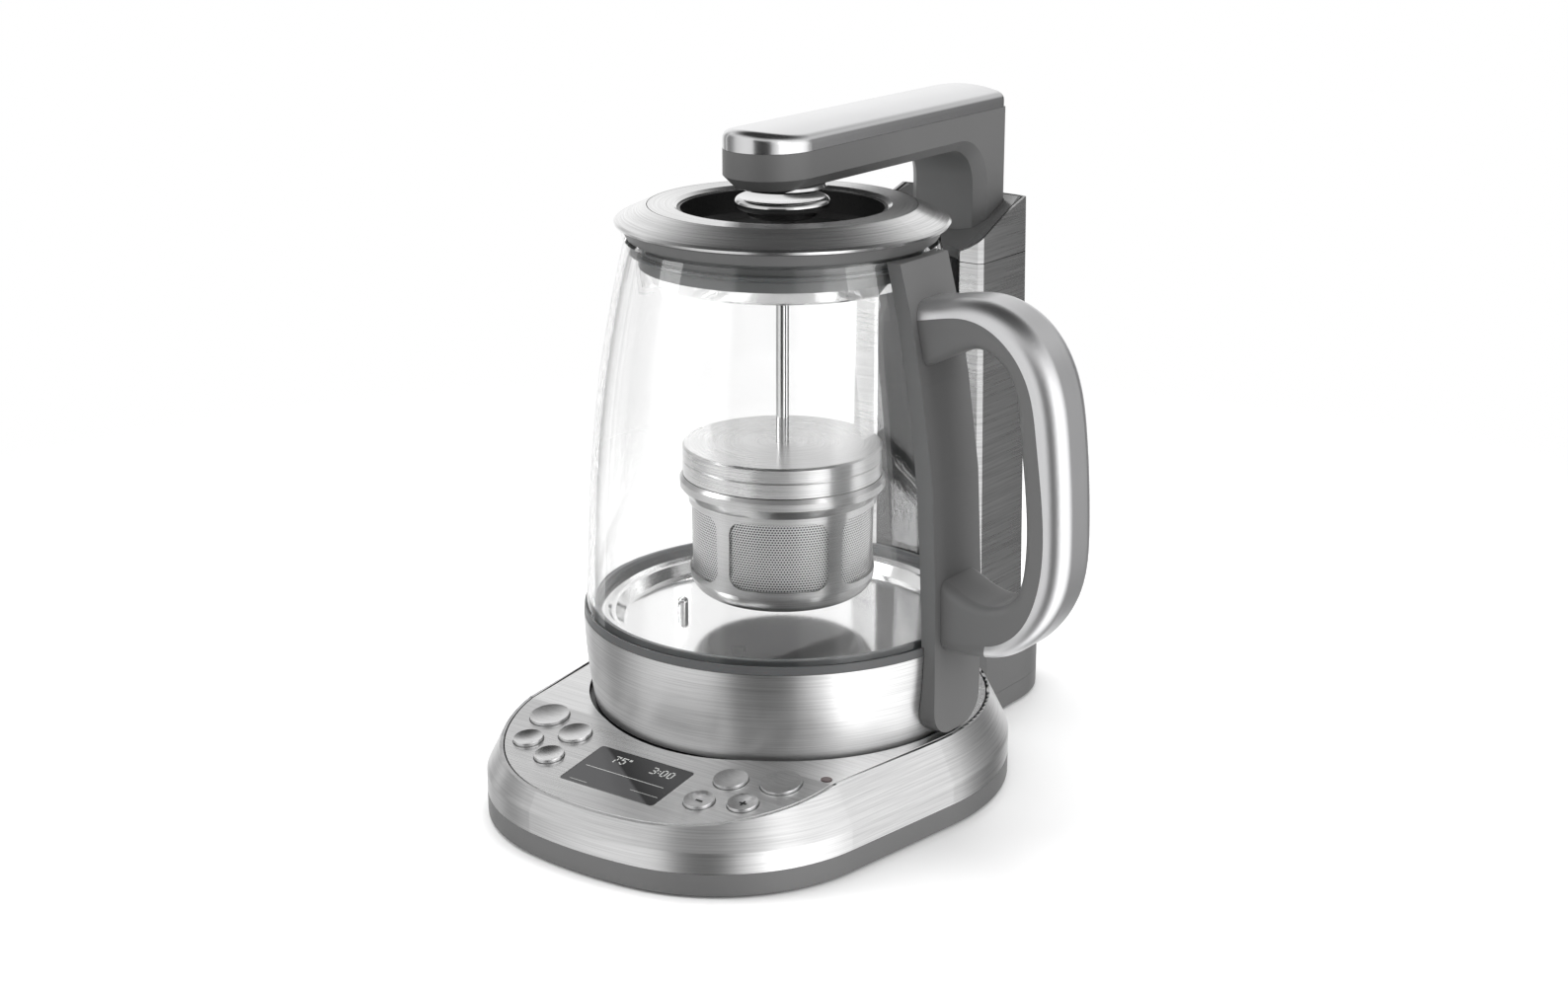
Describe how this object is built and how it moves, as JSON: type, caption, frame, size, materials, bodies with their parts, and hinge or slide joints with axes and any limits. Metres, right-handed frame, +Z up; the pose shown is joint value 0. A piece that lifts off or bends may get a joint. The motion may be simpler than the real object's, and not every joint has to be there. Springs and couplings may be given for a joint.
{
  "type": "automatic tea maker",
  "caption": "Tea maker: powered base with keypad and lift tower, glass jug with handle and spout, and an infuser basket on a rod that the tower's arm raises.",
  "frame": {"origin": "where the jug's vertical axis meets the table", "axes": "+Z up, -Y towards the control panel, +Y towards the lift tower, +X towards the jug's handle, -X towards its spout"},
  "size_m": [0.2162, 0.2744, 0.2507],
  "materials": {
    "brushed_steel": "satin brushed stainless steel",
    "satin_metal": "fine satin",
    "polished_steel": "polished",
    "grey_plastic": "moulded, fine grain",
    "black_plastic": "moulded, fine grain",
    "well_plastic": "smooth",
    "display_lens": "smooth dark lens",
    "lamp_lens": "smooth, tinted red",
    "clear_glass": "clear",
    "silicone": "soft matte",
    "foot_rubber": "matte",
    "circuit_board": "lacquered",
    "steel_fixings": "plated",
    "ground_steel": "ground",
    "brass": "machined",
    "magnet": "nickel plated"
  },
  "bodies": {
    "base": {"base_tray": "black_plastic", "rubber_feet": "foot_rubber", "base_screws": "steel_fixings", "base_shell": "brushed_steel", "control_panel": "brushed_steel", "seat_plate": "black_plastic", "lower_connector": "black_plastic", "control_board": "circuit_board", "display_window": "display_lens", "lamp_lens": "lamp_lens", "power_board": "circuit_board", "tower_wrap": "brushed_steel", "tower_trim": "brushed_steel", "niche_panel": "brushed_steel", "tower_foot": "grey_plastic", "cord_inlet": "foot_rubber", "back_cover": "grey_plastic", "tower_collar": "grey_plastic", "lift_frame": "black_plastic", "guide_rods": "ground_steel", "lift_motor": "steel_fixings"},
    "screw": {"lead_screw": "ground_steel"},
    "arm": {"arm_housing": "grey_plastic", "arm_cap": "satin_metal", "coupler_ring": "polished_steel", "coupler_magnet": "magnet", "lift_carriage": "black_plastic", "lift_nut": "brass"},
    "jug": {"jug_glass": "clear_glass", "steel_band": "brushed_steel", "band_gasket": "silicone", "heater_plate": "polished_steel", "heating_element": "steel_fixings", "sensor_probe": "polished_steel", "upper_connector": "black_plastic", "jug_bottom_cover": "black_plastic", "handle_bracket": "grey_plastic", "handle_shell": "satin_metal", "handle_grip": "grey_plastic", "handle_screws": "steel_fixings"},
    "lid": {"lid_rim": "satin_metal", "lid_ring": "satin_metal", "lid_well": "well_plastic", "lid_body": "grey_plastic", "lid_seal": "silicone", "lid_pan": "polished_steel", "rod_bush": "well_plastic"},
    "basket": {"lift_knob": "polished_steel", "lift_rod": "polished_steel", "basket_cap": "brushed_steel"},
    "cup": {"basket_cup": "brushed_steel", "basket_mesh": "brushed_steel"},
    "button_large_left": {"button_large_left": "satin_metal"},
    "button_large_right": {"button_large_right": "satin_metal"},
    "button_medium_left": {"button_medium_left": "satin_metal"},
    "button_medium_right": {"button_medium_right": "satin_metal"},
    "button_outer_left": {"button_outer_left": "satin_metal"},
    "button_plus": {"button_plus": "satin_metal"},
    "button_inner_left": {"button_inner_left": "satin_metal"},
    "button_minus": {"button_minus": "satin_metal"}
  },
  "joints": [
    {"name": "arm_lift", "type": "slide", "parent": "base", "child": "arm", "axis": [0, 0, 1], "range_m": [0, 0.055]},
    {"name": "screw_turn", "type": "hinge", "parent": "base", "child": "screw", "pos_m": [0, 0.1201, 0.1], "axis": [0, 0, 1], "range_deg": [0, 2480]},
    {"name": "jug_lift", "type": "slide", "parent": "base", "child": "jug", "axis": [0, 0, 1], "range_m": [0, 0.0015]},
    {"name": "lid_lift", "type": "slide", "parent": "jug", "child": "lid", "axis": [0, 0, 1], "range_m": [0, 0.0013]},
    {"name": "basket_lift", "type": "slide", "parent": "lid", "child": "basket", "axis": [0, 0, 1], "range_m": [0, 0.055]},
    {"name": "cup_twist", "type": "hinge", "parent": "basket", "child": "cup", "pos_m": [0, 0, 0.12], "axis": [0, 0, 1], "range_deg": [0, 34]},
    {"name": "press_large_left", "type": "slide", "parent": "base", "child": "button_large_left", "axis": [0, 0.1518, -0.9884], "range_m": [0, 0.0008], "stiffness_N_per_m": 1500, "springref_m": -0.0004},
    {"name": "press_large_right", "type": "slide", "parent": "base", "child": "button_large_right", "axis": [0, 0.1518, -0.9884], "range_m": [0, 0.0008], "stiffness_N_per_m": 1500, "springref_m": -0.0004},
    {"name": "press_medium_left", "type": "slide", "parent": "base", "child": "button_medium_left", "axis": [0, 0.1518, -0.9884], "range_m": [0, 0.0008], "stiffness_N_per_m": 1500, "springref_m": -0.0004},
    {"name": "press_medium_right", "type": "slide", "parent": "base", "child": "button_medium_right", "axis": [0, 0.1518, -0.9884], "range_m": [0, 0.0008], "stiffness_N_per_m": 1500, "springref_m": -0.0004},
    {"name": "press_outer_left", "type": "slide", "parent": "base", "child": "button_outer_left", "axis": [0, 0.1518, -0.9884], "range_m": [0, 0.0008], "stiffness_N_per_m": 1500, "springref_m": -0.0004},
    {"name": "press_plus", "type": "slide", "parent": "base", "child": "button_plus", "axis": [0, 0.1518, -0.9884], "range_m": [0, 0.0008], "stiffness_N_per_m": 1500, "springref_m": -0.0004},
    {"name": "press_inner_left", "type": "slide", "parent": "base", "child": "button_inner_left", "axis": [0, 0.1518, -0.9884], "range_m": [0, 0.0008], "stiffness_N_per_m": 1500, "springref_m": -0.0004},
    {"name": "press_minus", "type": "slide", "parent": "base", "child": "button_minus", "axis": [0, 0.1518, -0.9884], "range_m": [0, 0.0008], "stiffness_N_per_m": 1500, "springref_m": -0.0004}
  ],
  "couplings": [
    {"joint": "screw_turn", "follows": "arm_lift", "rad_per_m": 785.4},
    {"joint": "basket_lift", "follows": "arm_lift", "ratio": 1}
  ]
}
